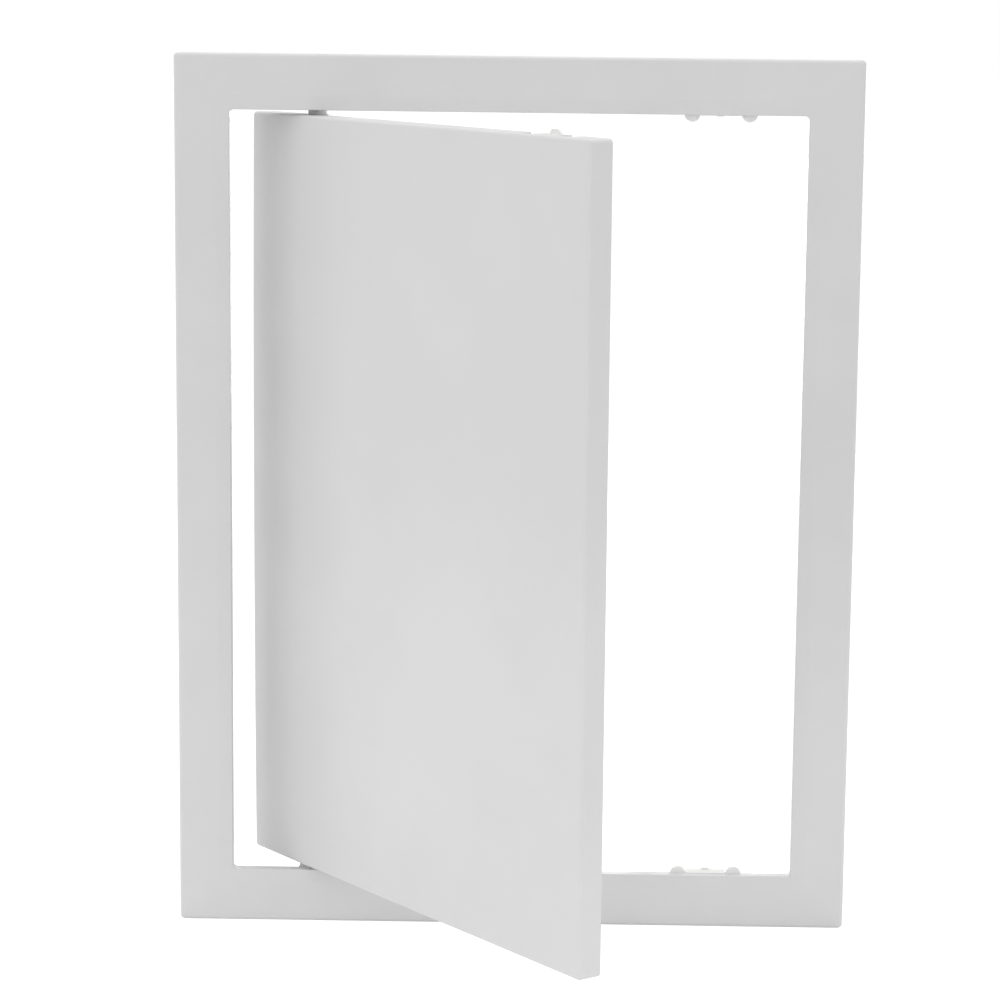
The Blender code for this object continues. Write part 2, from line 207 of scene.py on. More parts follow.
class Bench:
    """The modelling tools, each with what it acts on selected in code."""

    @staticmethod
    def clear() -> None:
        """Leave edit mode and deselect everything."""
        if bpy.context.object is not None and bpy.context.object.mode != "OBJECT":
            bpy.ops.object.mode_set(mode="OBJECT")
        bpy.ops.object.select_all(action="DESELECT")

    @staticmethod
    def take(obj: bpy.types.Object) -> None:
        """Make an object the only selected one, and the active one.

        Args:
            obj: the object.
        """
        Bench.clear()
        obj.select_set(True)
        bpy.context.view_layer.objects.active = obj

    @staticmethod
    def edit(obj: bpy.types.Object) -> None:
        """Open an object in edit mode with nothing selected.

        Args:
            obj: the object.
        """
        Bench.take(obj)
        bpy.ops.object.mode_set(mode="EDIT")
        bpy.ops.mesh.select_all(action="DESELECT")

    @staticmethod
    def settle(obj: bpy.types.Object) -> bpy.types.Object:
        """Put an object's place, turn and scale into its mesh.

        Args:
            obj: the object.

        Returns:
            The same object.
        """
        Bench.take(obj)
        bpy.ops.object.transform_apply(location=True, rotation=True, scale=True)
        return obj

    @staticmethod
    def named(name: str) -> bpy.types.Object:
        """Name the primitive that was just added, and its mesh.

        Args:
            name: its new name.

        Returns:
            The primitive.
        """
        obj = bpy.context.active_object
        obj.name = name
        obj.data.name = name
        return obj

    @staticmethod
    def block(name: str, low: Point, high: Point) -> bpy.types.Object:
        """Add a block between two corners.

        Args:
            name: name of the piece.
            low: its lowest corner.
            high: its highest corner.

        Returns:
            The new object, its place in its mesh.
        """
        Bench.clear()
        middle = [(a + b) / 2 for a, b in zip(low, high)]
        bpy.ops.mesh.primitive_cube_add(size=1.0, location=middle)
        obj = Bench.named(name)
        obj.scale = [b - a for a, b in zip(low, high)]
        return Bench.settle(obj)

    @staticmethod
    def bar(name: str, centre: Point, radius: float, length: float, along: str = "Z",
            sides: int = 48) -> bpy.types.Object:
        """Add a round bar.

        Args:
            name: name of the piece.
            centre: its middle.
            radius: its radius.
            length: its length.
            along: the axis that it lies along, Y or Z.
            sides: number of its sides.

        Returns:
            The new object, its place in its mesh.
        """
        Bench.clear()
        turn = (math.pi / 2, 0.0, 0.0) if along == "Y" else (0.0, 0.0, 0.0)
        bpy.ops.mesh.primitive_cylinder_add(
            vertices=sides, radius=radius, depth=length, location=centre, rotation=turn)
        return Bench.settle(Bench.named(name))

    @staticmethod
    def pick(obj: bpy.types.Object, part: Part, test: Callable) -> None:
        """Select the vertices, edges or faces that pass a test, in edit mode.

        Args:
            obj: the object in edit mode.
            part: what is picked.
            test: takes one vertex, edge or face and says whether it is picked.
        """
        bpy.ops.mesh.select_mode(type=part.value)
        bpy.ops.mesh.select_all(action="DESELECT")
        builder = bmesh.from_edit_mesh(obj.data)
        items = {Part.VERTICES: builder.verts, Part.EDGES: builder.edges, Part.FACES: builder.faces}
        for item in items[part]:
            if test(item):
                item.select_set(True)
        builder.select_flush_mode()
        bmesh.update_edit_mesh(obj.data)

    @staticmethod
    def soften(obj: bpy.types.Object, rounding: Rounding, steps: int = 3,
               angle: float = 32.0) -> None:
        """Round an object's edges and shade it smooth.

        Args:
            obj: the object.
            rounding: how wide the rounding is.
            steps: number of its facets.
            angle: the edges that turn by more than this many degrees are rounded.
        """
        Bench.take(obj)
        bevel = obj.modifiers.new("Rounding", "BEVEL")
        bevel.width = rounding.value
        bevel.segments = steps
        bevel.limit_method = "ANGLE"
        bevel.angle_limit = math.radians(angle)
        bevel.use_clamp_overlap = True
        bpy.ops.object.modifier_apply(modifier=bevel.name)
        bpy.ops.object.shade_smooth_by_angle(angle=math.radians(angle + 6.0))
        weighted = obj.modifiers.new("Even_Shading", "WEIGHTED_NORMAL")
        weighted.keep_sharp = True
        bpy.ops.object.modifier_apply(modifier=weighted.name)

    @staticmethod
    def combine(obj: bpy.types.Object, tool: bpy.types.Object, operation: str) -> None:
        """Cut a tool out of an object, or join it on, and remove the tool.

        Args:
            obj: the object that is changed.
            tool: the object that is cut out or joined on.
            operation: DIFFERENCE or UNION.
        """
        Bench.take(obj)
        boolean = obj.modifiers.new("Combine", "BOOLEAN")
        boolean.operation = operation
        boolean.solver = "EXACT"
        boolean.object = tool
        bpy.ops.object.modifier_apply(modifier=boolean.name)
        bpy.data.objects.remove(tool, do_unlink=True)

    @staticmethod
    def copy(obj: bpy.types.Object, name: str, matrix: Matrix) -> bpy.types.Object:
        """Copy an object with a mesh of its own and put it in another place.

        Args:
            obj: the object.
            name: name of the copy.
            matrix: how the copy lies from the first one.

        Returns:
            The copy, its place in its mesh.
        """
        Bench.take(obj)
        bpy.ops.object.duplicate(linked=False)
        twin = Bench.named(name)
        twin.matrix_world = matrix @ twin.matrix_world
        return Bench.settle(twin)


class RingSweep:
    """A moulding drawn out from one rounded rectangle to the next.

    Args:
        name: name of the piece.
        first: the ring that it starts from.
        steps: number of straight pieces in each corner.
    """

    def __init__(self, name: str, first: Ring, steps: int) -> None:
        Bench.clear()
        bpy.ops.mesh.primitive_plane_add(
            size=1.0, location=(0.0, first.y, 0.0), rotation=(math.pi / 2, 0.0, 0.0))
        self.obj = Bench.named(name)
        self.obj.scale = (2 * first.half_width, 2 * first.half_height, 1.0)
        Bench.settle(self.obj)
        Bench.edit(self.obj)
        bpy.ops.mesh.select_all(action="SELECT")
        bpy.ops.mesh.bevel(offset=first.corner, segments=steps, affect="VERTICES")
        bpy.ops.mesh.delete(type="ONLY_FACE")
        Bench.edit(self.obj)
        bpy.ops.mesh.select_all(action="SELECT")
        self.ring = first
        self.first_loop = self._selected()
        self.loop = list(self.first_loop)

    def _selected(self) -> list[int]:
        """Return the numbers of the selected vertices.

        Returns:
            The numbers.
        """
        builder = bmesh.from_edit_mesh(self.obj.data)
        builder.verts.index_update()
        return [vertex.index for vertex in builder.verts if vertex.select]

    def _select(self, numbers: list[int], test: Callable = lambda vertex: True) -> None:
        """Select the vertices with these numbers that pass a test.

        Args:
            numbers: the vertices' numbers.
            test: takes one vertex and says whether it is picked.
        """
        bpy.ops.mesh.select_all(action="DESELECT")
        builder = bmesh.from_edit_mesh(self.obj.data)
        builder.verts.ensure_lookup_table()
        for number in numbers:
            if test(builder.verts[number]):
                builder.verts[number].select_set(True)
        builder.select_flush_mode()
        bmesh.update_edit_mesh(self.obj.data)

    def draw_to(self, ring: Ring) -> None:
        """Draw the open edge out to the next ring.

        Args:
            ring: where the edge goes to.
        """
        bpy.ops.mesh.select_mode(type="VERT")
        bpy.ops.mesh.extrude_region_move(
            TRANSFORM_OT_translate={"value": (0.0, ring.y - self.ring.y, 0.0)})
        self.loop = self._selected()
        moved_x = (ring.half_width - ring.corner) - (self.ring.half_width - self.ring.corner)
        moved_z = (ring.half_height - ring.corner) - (self.ring.half_height - self.ring.corner)
        size = ring.corner / self.ring.corner
        for sign_x in (-1, 1):
            for sign_z in (-1, 1):
                self._select(self.loop, lambda v: v.co.x * sign_x > 0 and v.co.z * sign_z > 0)
                bpy.ops.transform.translate(value=(sign_x * moved_x, 0.0, sign_z * moved_z))
                middle = (sign_x * (ring.half_width - ring.corner), ring.y,
                          sign_z * (ring.half_height - ring.corner))
                bpy.ops.transform.resize(value=(size, 1.0, size), center_override=middle)
        self._select(self.loop)
        self.ring = ring

    def join_ends(self) -> bpy.types.Object:
        """Join the last ring to the first and return the closed object.

        Returns:
            The closed object.
        """
        bpy.ops.mesh.select_mode(type="VERT")
        self._select(self.first_loop + self.loop)
        bpy.ops.mesh.select_mode(type="EDGE")
        bpy.ops.mesh.bridge_edge_loops()
        return self._closed()

    def cap_ends(self) -> bpy.types.Object:
        """Fill the first and the last ring and return the closed object.

        Returns:
            The closed object.
        """
        for loop in (self.first_loop, self.loop):
            self._select(loop)
            bpy.ops.mesh.edge_face_add()
        return self._closed()

    def _closed(self) -> bpy.types.Object:
        """Point the faces outward and leave edit mode.

        Returns:
            The closed object.
        """
        bpy.ops.mesh.select_all(action="SELECT")
        bpy.ops.mesh.normals_make_consistent(inside=False)
        bpy.ops.object.mode_set(mode="OBJECT")
        return self.obj


class NodeSheet:
    """A node tree with short ways to add and link its nodes.

    Args:
        tree: the tree that is filled.
    """

    def __init__(self, tree: bpy.types.NodeTree) -> None:
        self.tree = tree

    def add(self, kind: str, **settings: object) -> bpy.types.Node:
        """Add a node.

        Args:
            kind: Blender's name of the node.
            settings: the node's own settings.

        Returns:
            The new node.
        """
        node = self.tree.nodes.new(kind)
        for key, value in settings.items():
            setattr(node, key, value)
        return node

    def join(self, source: bpy.types.NodeSocket, target: bpy.types.NodeSocket) -> None:
        """Link one socket to another."""
        self.tree.links.new(source, target)

    def feed(self, value: object, target: bpy.types.NodeSocket) -> None:
        """Link a socket to an input, or set the input to a plain value.

        Args:
            value: the socket or the plain value.
            target: the input.
        """
        if isinstance(value, bpy.types.NodeSocket):
            self.join(value, target)
        else:
            target.default_value = value

    def maths(self, operation: str, first: object, second: object = 0.0, third: object = 0.0,
              clamp: bool = False) -> bpy.types.NodeSocket:
        """Add a Math node and return its result.

        Args:
            operation: what it works out.
            first: first value or socket.
            second: second value or socket.
            third: third value or socket.
            clamp: True keeps the result between 0 and 1.

        Returns:
            The result's socket.
        """
        node = self.add("ShaderNodeMath", operation=operation, use_clamp=clamp)
        for value, target in zip((first, second, third), node.inputs):
            self.feed(value, target)
        return node.outputs[0]

    def spread(self, value: object, low: float, high: float, to_low: float,
               to_high: float) -> bpy.types.NodeSocket:
        """Map a value from one range to another, held at both ends.

        Args:
            value: the value or socket.
            low: start of its range.
            high: end of its range.
            to_low: what the start becomes.
            to_high: what the end becomes.

        Returns:
            The result's socket.
        """
        node = self.add("ShaderNodeMapRange", interpolation_type="SMOOTHSTEP")
        for item, target in zip((value, low, high, to_low, to_high), node.inputs):
            self.feed(item, target)
        return node.outputs[0]

    def noise(self, vector: object, scale: object, detail: float,
              roughness: float) -> bpy.types.NodeSocket:
        """Add a noise pattern and return its value.

        Args:
            vector: the coordinates.
            scale: how many features there are in a metre.
            detail: how many finer layers it has.
            roughness: how strong the finer layers are.

        Returns:
            The value's socket.
        """
        node = self.add("ShaderNodeTexNoise")
        self.feed(vector, node.inputs["Vector"])
        self.feed(scale, node.inputs["Scale"])
        node.inputs["Detail"].default_value = detail
        node.inputs["Roughness"].default_value = roughness
        return node.outputs["Fac"]

    def stretch(self, vector: object, scale: Point) -> bpy.types.NodeSocket:
        """Stretch coordinates along their axes and return them.

        Args:
            vector: the coordinates.
            scale: how much along each axis.

        Returns:
            The stretched coordinates.
        """
        node = self.add("ShaderNodeMapping")
        self.feed(vector, node.inputs["Vector"])
        node.inputs["Scale"].default_value = scale
        return node.outputs["Vector"]

    def mix(self, share: object, first: object, second: object) -> bpy.types.NodeSocket:
        """Mix two colours and return the result.

        Args:
            share: how much of the second colour there is.
            first: first colour or socket.
            second: second colour or socket.

        Returns:
            The mixed colour's socket.
        """
        node = self.add("ShaderNodeMix", data_type="RGBA")
        self.feed(share, node.inputs["Factor"])
        for value, target in ((first, node.inputs[6]), (second, node.inputs[7])):
            self.feed((*value, 1.0) if isinstance(value, tuple) else value, target)
        return node.outputs[2]


class SharedEffects:
    """The node groups that the plastics share, each made once."""

    def __init__(self) -> None:
        self.grain = self._grain()
        self.flow = self._flow()
        self.edge_highlight_and_wear = self._edge_highlight_and_wear()
        self.dust = self._dust()
        self.handling = self._handling()

    @staticmethod
    def _group(name: str, inputs: dict[str, object],
               outputs: list[str]) -> tuple[NodeSheet, bpy.types.Node, bpy.types.Node]:
        """Start a node group.

        Args:
            name: name of the group.
            inputs: each input's name and its usual value, a vector for coordinates.
            outputs: the names of its values.

        Returns:
            The sheet to draw in, the group's input node and its output node.
        """
        tree = bpy.data.node_groups.new(name, "ShaderNodeTree")
        for key, value in inputs.items():
            kind = "NodeSocketVector" if value is None else "NodeSocketFloat"
            made = tree.interface.new_socket(name=key, in_out="INPUT", socket_type=kind)
            if value is not None:
                made.default_value = value
        for key in outputs:
            tree.interface.new_socket(name=key, in_out="OUTPUT", socket_type="NodeSocketFloat")
        sheet = NodeSheet(tree)
        return sheet, sheet.add("NodeGroupInput"), sheet.add("NodeGroupOutput")

    def _grain(self) -> bpy.types.NodeTree:
        """Return the fine grain and slow ripple that a mould leaves in plastic.

        Returns:
            The group.
        """
        sheet, start, end = self._group(
            "Mould_Grain", {"Vector": None, "Grain": 1400.0, "Ripple": 34.0}, ["Height", "Tone"])
        fine = sheet.noise(start.outputs["Vector"], start.outputs["Grain"], 2.0, 0.55)
        coarser = sheet.maths("MULTIPLY", start.outputs["Grain"], 0.22)
        peel = sheet.noise(start.outputs["Vector"], coarser, 1.0, 0.5)
        slow = sheet.noise(start.outputs["Vector"], start.outputs["Ripple"], 1.0, 0.5)
        height = sheet.maths("MULTIPLY_ADD", fine, 0.22, sheet.maths("MULTIPLY", peel, 0.30))
        sheet.join(sheet.maths("MULTIPLY_ADD", slow, 1.6, height), end.inputs["Height"])
        sheet.join(sheet.noise(start.outputs["Vector"], 9.0, 3.0, 0.6), end.inputs["Tone"])
        return sheet.tree

    def _flow(self) -> bpy.types.NodeTree:
        """Return the faint long streaks that the plastic's flow leaves along a moulding.

        Returns:
            The group.
        """
        sheet, start, end = self._group(
            "Flow_Streaks", {"Vector": None, "Count": 60.0}, ["Streaks"])
        along = sheet.stretch(start.outputs["Vector"], (1.0, 1.0, 0.06))
        streaks = sheet.noise(along, start.outputs["Count"], 2.0, 0.6)
        patches = sheet.noise(start.outputs["Vector"], 14.0, 1.0, 0.5)
        gate = sheet.spread(patches, 0.42, 0.62, 0.0, 1.0)
        sheet.join(sheet.maths("MULTIPLY", streaks, gate), end.inputs["Streaks"])
        return sheet.tree

    def _edge_highlight_and_wear(self) -> bpy.types.NodeTree:
        """Return a mask of the edges, which paints a paler highlight along them in the colour and
        stands for handling's polish in the roughness.

        Returns:
            The group.
        """
        sheet, start, end = self._group("Edge_Highlight_And_Wear", {"Vector": None, "Reach": 0.0006}, ["Mask"])
        rounded = sheet.add("ShaderNodeBevel", samples=4)
        sheet.join(start.outputs["Reach"], rounded.inputs["Radius"])
        plain = sheet.add("ShaderNodeNewGeometry")
        turn = sheet.add("ShaderNodeVectorMath", operation="DOT_PRODUCT")
        sheet.join(rounded.outputs["Normal"], turn.inputs[0])
        sheet.join(plain.outputs["Normal"], turn.inputs[1])
        edge = sheet.spread(turn.outputs["Value"], 0.90, 0.995, 1.0, 0.0)
        chance = sheet.noise(start.outputs["Vector"], 160.0, 3.0, 0.6)
        broken = sheet.spread(chance, 0.35, 0.65, 0.35, 1.0)
        sheet.join(sheet.maths("MULTIPLY", edge, broken, clamp=True), end.inputs["Mask"])
        return sheet.tree

    def _dust(self) -> bpy.types.NodeTree:
        """Return a mask of the dust that settles on what faces upward.

        Returns:
            The group.
        """
        sheet, start, end = self._group("Settled_Dust", {"Vector": None, "Specks": 420.0}, ["Mask"])
        plain = sheet.add("ShaderNodeNewGeometry")
        parts = sheet.add("ShaderNodeSeparateXYZ")
        sheet.join(plain.outputs["Normal"], parts.inputs[0])
        level = sheet.spread(parts.outputs["Z"], 0.35, 0.9, 0.0, 1.0)
        veil = sheet.noise(start.outputs["Vector"], 60.0, 3.0, 0.6)
        film = sheet.spread(veil, 0.40, 0.70, 0.2, 0.8)
        spots = sheet.noise(start.outputs["Vector"], start.outputs["Specks"], 1.0, 0.5)
        specks = sheet.spread(spots, 0.66, 0.74, 0.0, 0.7)
        both = sheet.maths("MAXIMUM", film, specks)
        sheet.join(sheet.maths("MULTIPLY", level, both, clamp=True), end.inputs["Mask"])
        return sheet.tree

    def _handling(self) -> bpy.types.NodeTree:
        """Return a mask of faint smears and fine hairline scratches.

        Returns:
            The group.
        """
        sheet, start, end = self._group(
            "Handling", {"Vector": None, "Smears": 22.0}, ["Smear", "Scratch"])
        bent = sheet.stretch(start.outputs["Vector"], (1.0, 1.0, 0.45))
        smear = sheet.noise(bent, start.outputs["Smears"], 4.0, 0.62)
        sheet.join(sheet.spread(smear, 0.45, 0.72, 0.0, 1.0), end.inputs["Smear"])
        hair = sheet.add("ShaderNodeTexWave", wave_type="BANDS", bands_direction="DIAGONAL")
        sheet.join(start.outputs["Vector"], hair.inputs["Vector"])
        hair.inputs["Scale"].default_value = 26.0
        hair.inputs["Distortion"].default_value = 9.0
        hair.inputs["Detail"].default_value = 3.0
        line = sheet.spread(hair.outputs["Fac"], 0.985, 1.0, 0.0, 1.0)
        patches = sheet.noise(start.outputs["Vector"], 48.0, 2.0, 0.5)
        gate = sheet.spread(patches, 0.60, 0.72, 0.0, 1.0)
        sheet.join(sheet.maths("MULTIPLY", line, gate), end.inputs["Scratch"])
        return sheet.tree


@dataclass(frozen=True)
class MouldedPlastic:
    """An injection moulded plastic.

    Args:
        name: name of the material.
        colour: its colour.
        shade: the colour that its darker flow patches lean to.
        edge_highlight: its paler colour on the edges, a painted highlight.
        dust: colour of the dust on it.
        roughness: its roughness where it is clean.
        grain_height: height of the mould's grain, in metres.
        turn: how far the piece is turned about Z, in degrees, which its pattern follows.
        streaked: how strongly the flow streaks colour it.
        edge_highlight_strength: how strongly the painted edge highlight shows.
        dusty: how strongly the dust covers it.
        smear_dullness: what a smear adds to its roughness.
        scratch_dullness: what a scratch adds.
        wear_shine: what a handled edge takes away.
        dust_dullness: what the dust adds.
        patch_dullness: what a darker patch adds.
        scratch_depth: depth of a scratch, as a share of the grain's height.
        ior: its index of refraction.
    """

    name: str
    colour: Colour
    shade: Colour
    edge_highlight: Colour
    dust: Colour
    roughness: float
    grain_height: float
    turn: float = 0.0
    streaked: float = 0.55
    edge_highlight_strength: float = 0.80
    dusty: float = 0.30
    smear_dullness: float = 0.07
    scratch_dullness: float = 0.12
    wear_shine: float = 0.06
    dust_dullness: float = 0.25
    patch_dullness: float = 0.03
    scratch_depth: float = 0.60
    ior: float = 1.52

    def build(self, effects: SharedEffects) -> bpy.types.Material:
        """Make the material.

        Args:
            effects: the shared node groups.

        Returns:
            The new material.
        """
        material = bpy.data.materials.new(self.name)
        material.use_nodes = True
        sheet = NodeSheet(material.node_tree)
        shader = material.node_tree.nodes["Principled BSDF"]
        place = sheet.add("ShaderNodeTexCoord")
        turned = sheet.add("ShaderNodeMapping")
        turned.inputs["Rotation"].default_value = (0.0, 0.0, math.radians(self.turn))
        sheet.join(place.outputs["Object"], turned.inputs["Vector"])
        vector = turned.outputs["Vector"]
        grain, flow, edge_highlight_and_wear, dust, handling = (self._place(sheet, group, vector) for group in (
            effects.grain, effects.flow, effects.edge_highlight_and_wear, effects.dust, effects.handling))
        tone = sheet.spread(grain.outputs["Tone"], 0.35, 0.68, 0.0, 1.0)
        body = sheet.mix(tone, self.colour, self.shade)
        colour = body
        # The edge mask paints a paler highlight along the edges; the flow streaks and dust are the
        # plastic's own.
        for mask, strength, over in (
                (flow.outputs["Streaks"], self.streaked, self.shade),
                (edge_highlight_and_wear.outputs["Mask"], self.edge_highlight_strength, self.edge_highlight),
                (dust.outputs["Mask"], self.dusty, self.dust)):
            colour = sheet.mix(sheet.maths("MULTIPLY", mask, strength), colour, over)
        sheet.join(colour, shader.inputs["Base Color"])
        dull = self.roughness
        for mask, added in (
                (handling.outputs["Smear"], self.smear_dullness),
                (handling.outputs["Scratch"], self.scratch_dullness),
                (edge_highlight_and_wear.outputs["Mask"], -self.wear_shine),
                (dust.outputs["Mask"], self.dust_dullness)):
            dull = sheet.maths("MULTIPLY_ADD", mask, added, dull)
        sheet.join(sheet.maths("MULTIPLY_ADD", tone, self.patch_dullness, dull, clamp=True),
                   shader.inputs["Roughness"])
        height = sheet.maths("MULTIPLY_ADD", handling.outputs["Scratch"],
                             -self.scratch_depth, grain.outputs["Height"])
        bump = sheet.add("ShaderNodeBump")
        bump.inputs["Strength"].default_value = 1.0
        bump.inputs["Distance"].default_value = self.grain_height
        sheet.join(height, bump.inputs["Height"])
        sheet.join(bump.outputs["Normal"], shader.inputs["Normal"])
        shader.inputs["IOR"].default_value = self.ior
        return material

    @staticmethod
    def _place(sheet: NodeSheet, group: bpy.types.NodeTree, vector: object) -> bpy.types.Node:
        """Place a shared group on the coordinates and return its node.

        Args:
            sheet: the material's sheet.
            group: the shared group.
            vector: the coordinates.

        Returns:
            The group's node.
        """
        node = sheet.add("ShaderNodeGroup", node_tree=group)
        sheet.feed(vector, node.inputs["Vector"])
        return node


@dataclass
class Assembly:
    """What every sub-assembly has.

    Args:
        sizes: the panel's shared sizes.
        body: the body that its pieces ride on.
        slot: the record's material slot for their finish; not used.
        material: their material.
        painted_highlight_material: the material of its smallest pieces, a paler copy of the same
            white plastic, painted highlight for the light that falls on and through them.
    """

    sizes: PanelSizes
    body: Body
    slot: str
    material: bpy.types.Material
    painted_highlight_material: bpy.types.Material

    def finish(self, obj: bpy.types.Object, *nodes: str, painted_highlight: bool = False) -> bpy.types.Object:
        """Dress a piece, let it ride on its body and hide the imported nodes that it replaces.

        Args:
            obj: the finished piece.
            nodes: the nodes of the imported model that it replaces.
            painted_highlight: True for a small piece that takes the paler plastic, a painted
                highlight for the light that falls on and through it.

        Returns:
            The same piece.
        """
        obj.data.materials.clear()
        # Small pieces take a paler copy of the plastic: painted highlight for the light they catch.
        obj.data.materials.append(self.painted_highlight_material if painted_highlight else self.material)
        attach(obj, self.body.value)
        if nodes:
            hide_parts(*nodes)
        LOG.info("%s: %d faces, rides on %s", obj.name, len(obj.data.polygons), self.body.value)
        return obj

    @staticmethod
    def turned_over(x: float) -> Matrix:
        """Return the half turn that takes a top piece whose middle is at X to the bottom."""
        return Matrix.Translation((2 * x, 0.0, 0.0)) @ Matrix.Rotation(math.pi, 4, "Y")

    def open_door(self, obj: bpy.types.Object) -> bpy.types.Object:
        """Swing a piece that was drawn on the shut door to where the open door has it.

        Args:
            obj: the piece.

        Returns:
            The same piece, its place in its mesh.
        """
        pivot = Matrix.Translation(self.sizes.pivot)
        swing = Matrix.Rotation(-math.radians(self.sizes.open_angle), 4, "Z")
        obj.matrix_world = pivot @ swing @ pivot.inverted() @ obj.matrix_world
        return Bench.settle(obj)


@dataclass
class FrameMoulding(Assembly):
    """The frame: flange, lip and collar, with the bearing pads and the catches."""

    band_width: float = 0.0062
    band_fall: float = 0.0003
    lip_radius: float = 0.0006
    lip_corner: float = 0.0020
    outer_corner: float = 0.0023
    edge_height: float = 0.0026
    edge_radius: float = 0.0020
    crown_power: float = 1.1
    crown_steps: int = 16
    skin_steps: int = 8
    land: float = 0.0030
    pad_wall: float = 0.0067
    pad_reach: float = 0.0065
    pad_corner: float = 0.0018
    hump_radius: float = 0.0040
    hump_drop: float = 0.0035
    hump_thickness: float = 0.0020
    hump_round: float = 0.0009
    shelf_reach: float = 0.0070
    shelf_thickness: float = 0.0012
    shelf_recess: float = 0.0003
    nib_width: float = 0.0038
    nib_thickness: float = 0.0008
    nib_rise: float = 0.0011
    nib_behind_face: float = 0.0117
    pad_rise: float = 0.0004

    def crown_height(self, share: float) -> float:
        """Return the crown's height at a share of the way from its crest to its rolled edge."""
        fall = self.sizes.crest - self.edge_height
        return self.sizes.crest - fall * max(share, 0.0) ** self.crown_power

    def section(self) -> list[Stop]:
        """Return the moulding's section.

        Returns:
            Points as distances out from the lip and places along Y.
        """
        sizes = self.sizes
        crown_start = self.band_width
        crown_end = sizes.flange - self.edge_radius
        collar_outer = sizes.collar_setback + sizes.collar_wall
        land_inner = sizes.flange - self.land
        band = sizes.face + self.band_fall
        stops = arc_stops((self.lip_radius, band + self.lip_radius), self.lip_radius, 180, 270, 6)
        for index in range(self.crown_steps + 1):
            share = index / self.crown_steps
            out = crown_start + (crown_end - crown_start) * share
            stops.append((out, -self.crown_height(share)))
        roll_middle = (crown_end, self.edge_radius - self.edge_height)
        stops += arc_stops(roll_middle, self.edge_radius, -90, 0, 8)[1:]
        stops += [(sizes.flange, 0.0), (land_inner, 0.0)]
        for index in range(self.skin_steps + 1):
            out = land_inner + (collar_outer - land_inner) * index / self.skin_steps
            share = (out - crown_start) / (crown_end - crown_start)
            stops.append((out, sizes.skin - self.crown_height(share)))
        stops += [(collar_outer, sizes.collar_depth), (sizes.collar_setback, sizes.collar_depth)]
        stops += [(out, sizes.face + sizes.skin) for out in (sizes.collar_setback, sizes.lip_wall)]
        stops += [(sizes.lip_wall, sizes.lip_rear), (0.0, sizes.lip_rear)]
        return stops

    def ring(self, stop: Stop) -> Ring:
        """Return the rounded rectangle that one point of the section runs along.

        Args:
            stop: the point.

        Returns:
            The rounded rectangle.
        """
        out, y = stop
        corner = self.lip_corner + (self.outer_corner - self.lip_corner) * out / self.sizes.flange
        return Ring(
            self.sizes.half_opening_width + out, self.sizes.half_opening_height + out, corner, y)

    def flange(self) -> bpy.types.Object:
        """Model the flange, the lip and the collar, with the pins' holes.

        Returns:
            The new object.
        """
        rings = [self.ring(stop) for stop in self.section()]
        sweep = RingSweep("Frame_Moulding", rings[0], CORNER_STEPS)
        for ring in rings[1:]:
            sweep.draw_to(ring)
        obj = sweep.join_ends()
        for end in End:
            Bench.combine(obj, self.pin_hole(end), "DIFFERENCE")
        Bench.soften(obj, Rounding.FLANGE, 2)
        return obj

    def pin_hole(self, end: End) -> bpy.types.Object:
        """Return a bar that cuts a pin's hole through a pad and the collar.

        Args:
            end: the end that the pin is at.

        Returns:
            The new object.
        """
        sizes = self.sizes
        inner = sizes.pad_face - CUT_MARGIN
        outer = sizes.half_opening_height + sizes.collar_setback + sizes.collar_wall + CUT_MARGIN
        middle = (sizes.pivot.x, sizes.pivot.y, end.value * (inner + outer) / 2)
        return Bench.bar("Pin_Hole", middle, sizes.hole_radius, outer - inner)

    def bearing_pad(self) -> bpy.types.Object:
        """Model the pad on the collar that carries the top pin.

        Returns:
            The new object.
        """
        sizes = self.sizes
        half = sizes.hole_radius + self.pad_wall
        low = (sizes.pivot.x - half, sizes.face + sizes.skin - sizes.overlap, sizes.pad_face)
        high = (sizes.pivot.x + half, sizes.pivot.y + self.pad_reach,
                sizes.half_opening_height + sizes.collar_setback + sizes.overlap)
        obj = Bench.block("Bearing_Pad_Top", low, high)
        Bench.edit(obj)
        Bench.pick(obj, Part.EDGES, lambda edge: all(
            vertex.co.y > sizes.pivot.y for vertex in edge.verts)
            and abs(edge.verts[0].co.z - edge.verts[1].co.z) > SAME_PLACE)
        bpy.ops.mesh.bevel(offset=self.pad_corner, segments=6, affect="EDGES")
        bpy.ops.object.mode_set(mode="OBJECT")
        Bench.combine(obj, self.pin_hole(End.TOP), "DIFFERENCE")
        Bench.soften(obj, Rounding.BROAD)
        return obj

    def hump(self) -> bpy.types.Object:
        """Model one half-round stop at the top of the lip.

        Returns:
            The new object.
        """
        sizes = self.sizes
        middle = sizes.half_opening_height + self.hump_radius - self.hump_drop
        x = sizes.catch_from_centre - sizes.hump_spacing / 2
        y = sizes.lip_rear - self.hump_thickness / 2
        obj = Bench.bar(
            "Catch_Hump_1", (x, y, middle), self.hump_radius, self.hump_thickness, "Y", 64)
        Bench.edit(obj)
        bpy.ops.mesh.select_all(action="SELECT")
        bpy.ops.mesh.bisect(
            plane_co=(x, y, sizes.half_opening_height + sizes.lip_wall - sizes.overlap),
            plane_no=(0.0, 0.0, 1.0), use_fill=True, clear_outer=True)
        Bench.pick(obj, Part.EDGES, lambda edge: all(
            vertex.co.y < y and vertex.co.z < middle for vertex in edge.verts))
        bpy.ops.mesh.bevel(offset=self.hump_round, segments=5, affect="EDGES")
        bpy.ops.object.mode_set(mode="OBJECT")
        Bench.soften(obj, Rounding.SMALL, 2)
        return obj

